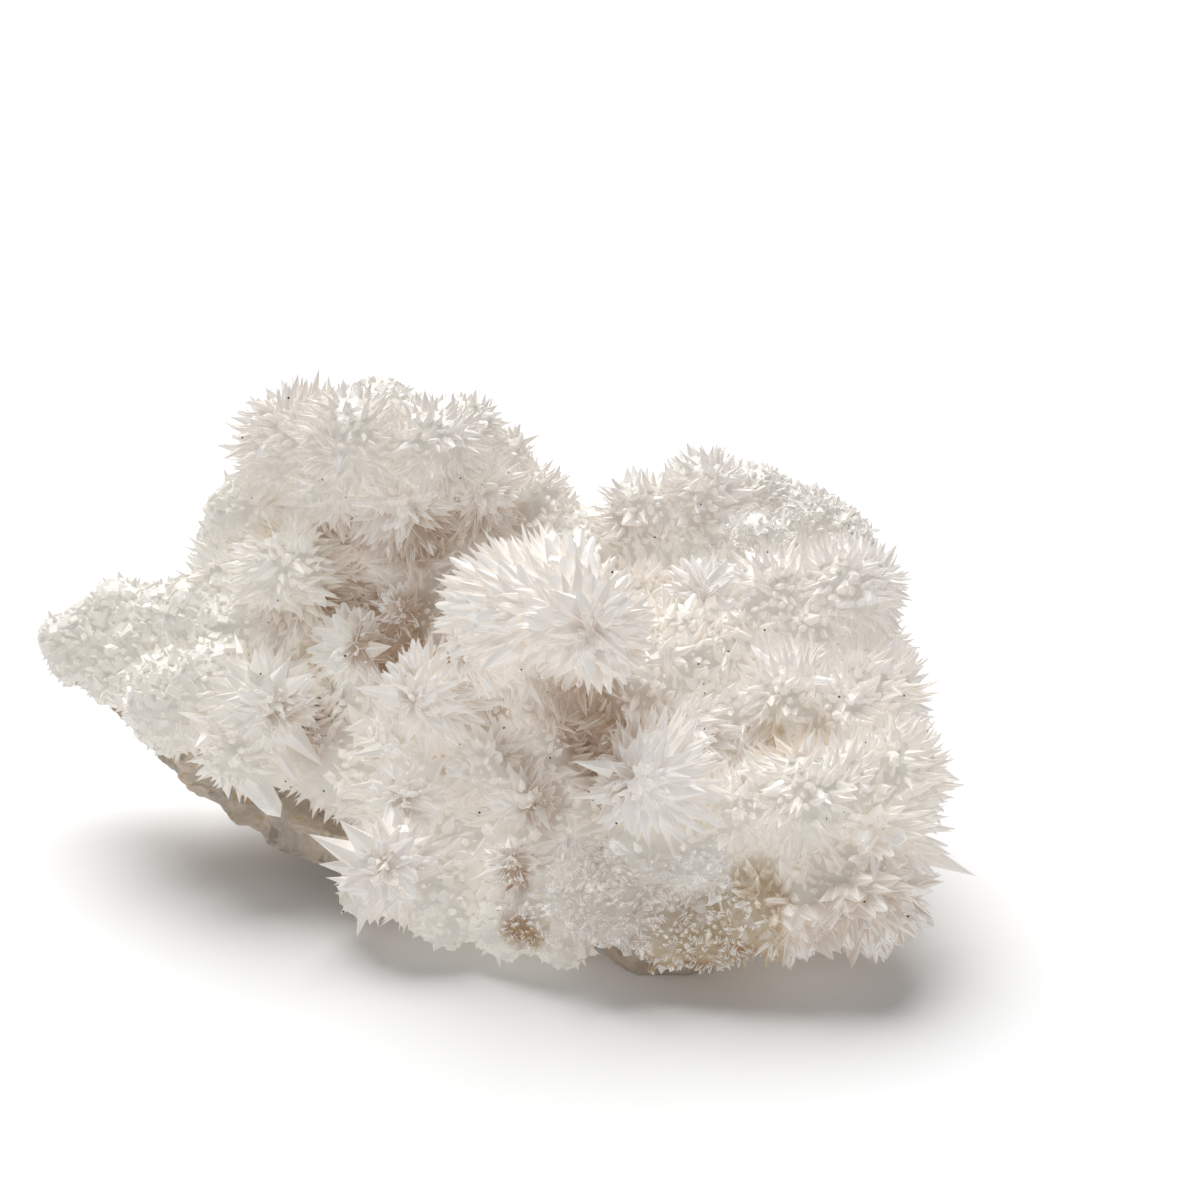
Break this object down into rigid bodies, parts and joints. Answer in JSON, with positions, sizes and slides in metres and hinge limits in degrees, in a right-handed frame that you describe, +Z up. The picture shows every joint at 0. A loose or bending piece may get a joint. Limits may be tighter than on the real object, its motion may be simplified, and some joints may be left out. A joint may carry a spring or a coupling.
{
  "type": "calcite crystal specimen",
  "caption": "Loose calcite specimen: lumps of radiating dogtooth crystals grown together on a curved plate of host rock, resting on a small flat spot.",
  "frame": {"origin": "on the ground under the middle of the specimen's bounds", "axes": "+X along the length towards the massive end, +Y away from the crystal front, +Z up"},
  "size_m": [0.2191, 0.1141, 0.1153],
  "materials": {
    "calcite": "milky translucent crystal, glossy faces",
    "host_rock": "rough broken rock, dull"
  },
  "bodies": {
    "root": {"calcite_crust": "calcite", "matrix": "host_rock"}
  },
  "joints": []
}
